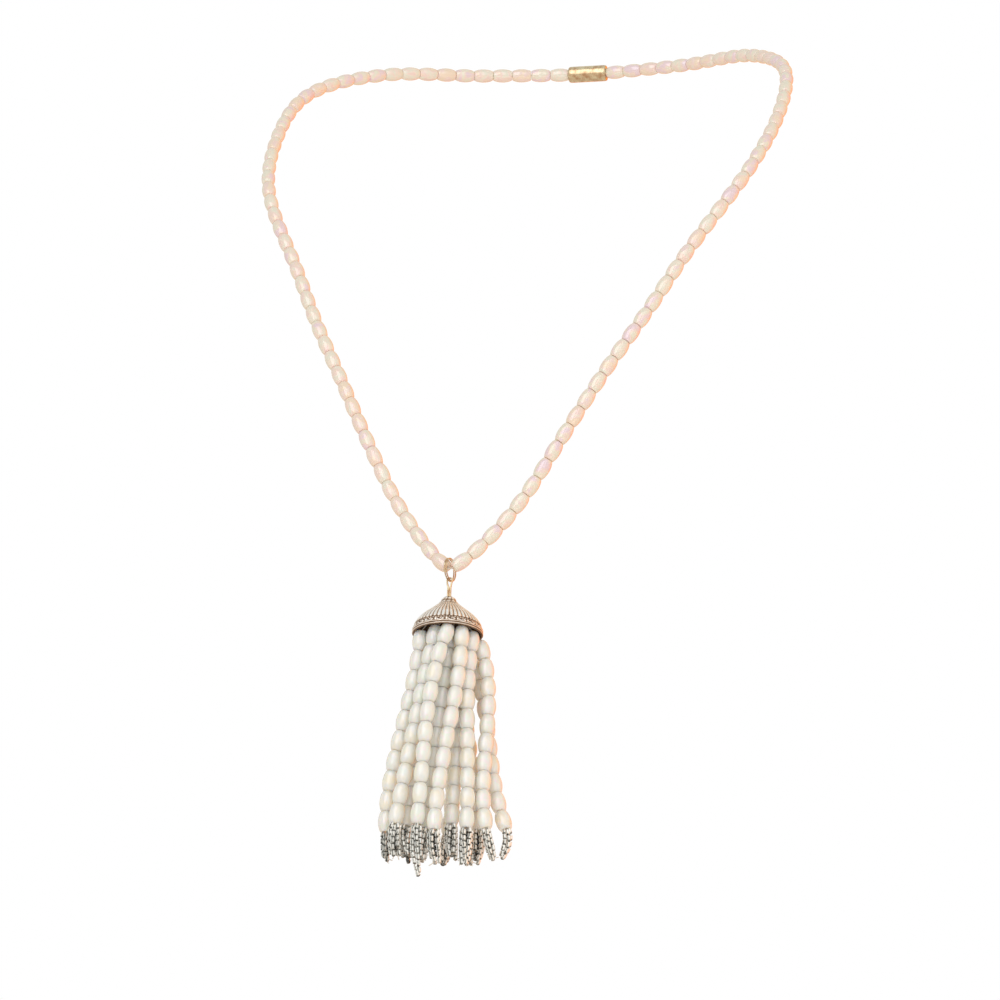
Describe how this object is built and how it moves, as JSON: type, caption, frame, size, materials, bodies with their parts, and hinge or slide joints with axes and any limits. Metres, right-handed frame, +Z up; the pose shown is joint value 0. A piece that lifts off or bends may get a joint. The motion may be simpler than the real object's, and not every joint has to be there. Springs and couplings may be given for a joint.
{
  "type": "tassel necklace",
  "caption": "Long necklace: a loop of pale lustrous rice beads with a jump ring at its lowest point, from which a bell cap and a tassel of beaded strands with seed bead ends hang.",
  "frame": {"origin": "Nape: the inner side of the clasp, where the necklace lies on the back of the neck", "axes": "+Z up as worn, the tassel hangs along -Z; -Y to the wearer's front, +X to the wearer's left"},
  "size_m": [0.1597, 0.1115, 0.2979],
  "materials": {
    "loop_bead": "pressed glass with a pearl coat, creamy pink with a rainbow lustre",
    "tassel_bead": "pressed glass with a pearl coat, milky cream, glossy",
    "thread": "waxed beading thread",
    "gilt_wire": "pale gilt, polished",
    "antique_silver": "cast white metal, silver plated, rubbed bright on the relief and dark in the recesses",
    "seed_bead": "silver lined seed beads"
  },
  "bodies": {
    "root": {"neck_beads_left": "loop_bead", "neck_beads_right": "loop_bead", "neck_thread": "thread", "clasp": "gilt_wire"},
    "ring": {"bail_ring": "gilt_wire"},
    "tassel": {"drop_link": "gilt_wire", "tassel_cap": "antique_silver", "strand_01": "tassel_bead", "strand_02": "tassel_bead", "strand_03": "tassel_bead", "strand_04": "tassel_bead", "strand_05": "tassel_bead", "strand_06": "tassel_bead", "strand_07": "tassel_bead", "strand_08": "tassel_bead", "strand_09": "tassel_bead", "strand_10": "tassel_bead", "strand_11": "tassel_bead", "strand_12": "tassel_bead", "thread_01": "thread", "thread_02": "thread", "thread_03": "thread", "thread_04": "thread", "thread_05": "thread", "thread_06": "thread", "thread_07": "thread", "thread_08": "thread", "thread_09": "thread", "thread_10": "thread", "thread_11": "thread", "thread_12": "thread", "fringe_01": "seed_bead", "fringe_02": "seed_bead", "fringe_03": "seed_bead", "fringe_04": "seed_bead", "fringe_05": "seed_bead", "fringe_06": "seed_bead", "fringe_07": "seed_bead", "fringe_08": "seed_bead", "fringe_09": "seed_bead", "fringe_10": "seed_bead", "fringe_11": "seed_bead", "fringe_12": "seed_bead"}
  },
  "joints": [
    {"name": "ring_swing", "type": "hinge", "parent": "root", "child": "ring", "pos_m": [-0.00918, -0.09518, -0.2022], "axis": [0.9903, -0.1392, 0], "range_deg": [-60, 60]},
    {"name": "tassel_swing", "type": "hinge", "parent": "ring", "child": "tassel", "pos_m": [-0.00918, -0.09518, -0.20585], "axis": [0.1392, 0.9903, 0], "range_deg": [-40, 40]}
  ]
}
